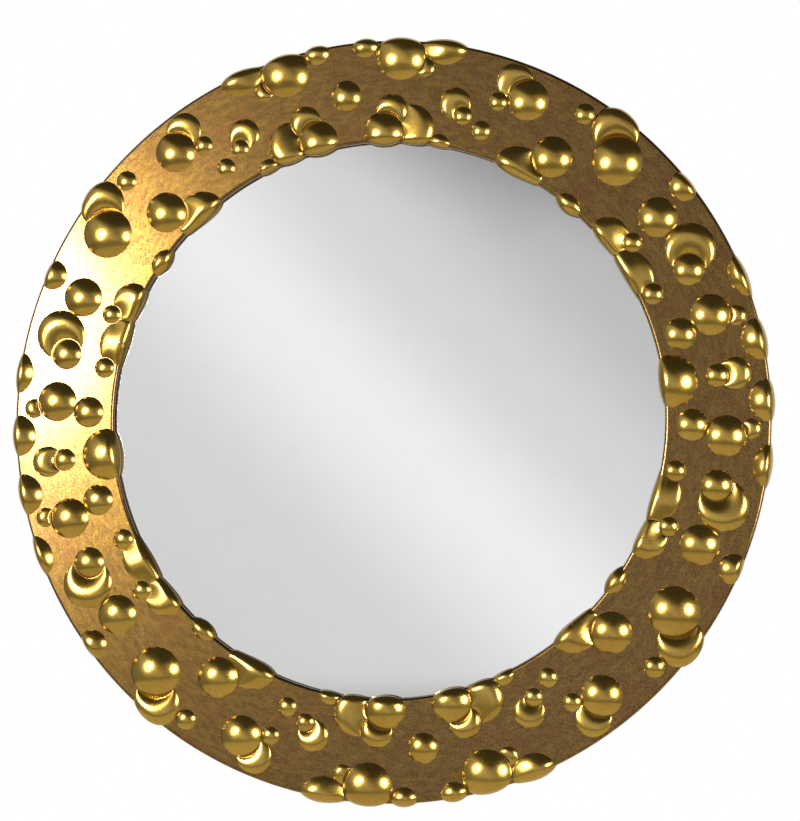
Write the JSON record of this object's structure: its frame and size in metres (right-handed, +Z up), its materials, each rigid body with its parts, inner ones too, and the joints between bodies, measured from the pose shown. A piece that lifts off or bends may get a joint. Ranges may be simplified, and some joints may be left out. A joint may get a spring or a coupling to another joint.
{
  "type": "convex wall mirror",
  "caption": "Round convex wall mirror in a wide flat gold-leaf ring covered with polished half-round domes, with a wooden back and hanging rings.",
  "frame": {"origin": "on the wall, midway between the two D rings and level with the inside top of each, where the hooks carry them", "axes": "+Z up, +Y into the wall, +X to the right for a viewer who faces the mirror"},
  "size_m": [1.01, 0.0637, 1.0106],
  "materials": {
    "gold_leaf": "cast resin laid with gold leaf over red clay: satin and worn on the flat, polished on the domes",
    "silvered_glass": "convex glass, silvered behind",
    "cork_pad": "dark foam and cork strip",
    "plywood": "sanded birch plywood",
    "hardboard": "smooth brown hardboard",
    "brass": "plain brass",
    "zinc_steel": "bright zinc plating",
    "rubber": "black rubber"
  },
  "bodies": {
    "frame": {"relief_casting_upper_right": "gold_leaf", "relief_casting_upper_left": "gold_leaf", "relief_casting_lower_left": "gold_leaf", "relief_casting_lower_right": "gold_leaf", "mirror_glass": "silvered_glass", "front_cushion": "cork_pad", "glass_spacer": "cork_pad", "backing_ring": "plywood", "back_panel": "hardboard", "casting_screw_1": "zinc_steel", "casting_screw_2": "zinc_steel", "casting_screw_3": "zinc_steel", "casting_screw_4": "zinc_steel", "casting_screw_5": "zinc_steel", "casting_screw_6": "zinc_steel", "casting_screw_7": "zinc_steel", "casting_screw_8": "zinc_steel", "button_screw_1": "zinc_steel", "button_screw_2": "zinc_steel", "button_screw_3": "zinc_steel", "button_screw_4": "zinc_steel", "button_screw_5": "zinc_steel", "button_screw_6": "zinc_steel", "button_screw_7": "zinc_steel", "button_screw_8": "zinc_steel", "hanger_strap_left": "zinc_steel", "strap_screw_left_1": "zinc_steel", "strap_screw_left_2": "zinc_steel", "hanger_strap_right": "zinc_steel", "strap_screw_right_1": "zinc_steel", "strap_screw_right_2": "zinc_steel", "bumper_upper_left": "rubber", "bumper_upper_right": "rubber", "bumper_lower_left": "rubber", "bumper_lower_right": "rubber"},
    "d_ring_left": {"d_ring_left": "zinc_steel"},
    "d_ring_right": {"d_ring_right": "zinc_steel"},
    "turn_button_1": {"turn_button_1": "brass"},
    "turn_button_2": {"turn_button_2": "brass"},
    "turn_button_3": {"turn_button_3": "brass"},
    "turn_button_4": {"turn_button_4": "brass"},
    "turn_button_5": {"turn_button_5": "brass"},
    "turn_button_6": {"turn_button_6": "brass"},
    "turn_button_7": {"turn_button_7": "brass"},
    "turn_button_8": {"turn_button_8": "brass"}
  },
  "joints": [
    {"name": "turn_button_1_pivot", "type": "hinge", "parent": "frame", "child": "turn_button_1", "pos_m": [0.36586, -0.0085, -0.17146], "axis": [0, 1, 0], "continuous": true},
    {"name": "turn_button_2_pivot", "type": "hinge", "parent": "frame", "child": "turn_button_2", "pos_m": [0.15154, -0.0085, 0.04285], "axis": [0, 1, 0], "continuous": true},
    {"name": "turn_button_3_pivot", "type": "hinge", "parent": "frame", "child": "turn_button_3", "pos_m": [-0.15154, -0.0085, 0.04285], "axis": [0, 1, 0], "continuous": true},
    {"name": "turn_button_4_pivot", "type": "hinge", "parent": "frame", "child": "turn_button_4", "pos_m": [-0.36586, -0.0085, -0.17146], "axis": [0, 1, 0], "continuous": true},
    {"name": "turn_button_5_pivot", "type": "hinge", "parent": "frame", "child": "turn_button_5", "pos_m": [-0.36586, -0.0085, -0.47455], "axis": [0, 1, 0], "continuous": true},
    {"name": "turn_button_6_pivot", "type": "hinge", "parent": "frame", "child": "turn_button_6", "pos_m": [-0.15154, -0.0085, -0.68886], "axis": [0, 1, 0], "continuous": true},
    {"name": "turn_button_7_pivot", "type": "hinge", "parent": "frame", "child": "turn_button_7", "pos_m": [0.15154, -0.0085, -0.68886], "axis": [0, 1, 0], "continuous": true},
    {"name": "turn_button_8_pivot", "type": "hinge", "parent": "frame", "child": "turn_button_8", "pos_m": [0.36586, -0.0085, -0.47455], "axis": [0, 1, 0], "continuous": true},
    {"name": "d_ring_left_swing", "type": "hinge", "parent": "frame", "child": "d_ring_left", "pos_m": [-0.30901, -0.0062, -0.014], "axis": [-1, 0, 0], "range_deg": [0, 180]},
    {"name": "d_ring_right_swing", "type": "hinge", "parent": "frame", "child": "d_ring_right", "pos_m": [0.30901, -0.0062, -0.014], "axis": [-1, 0, 0], "range_deg": [0, 180]}
  ]
}
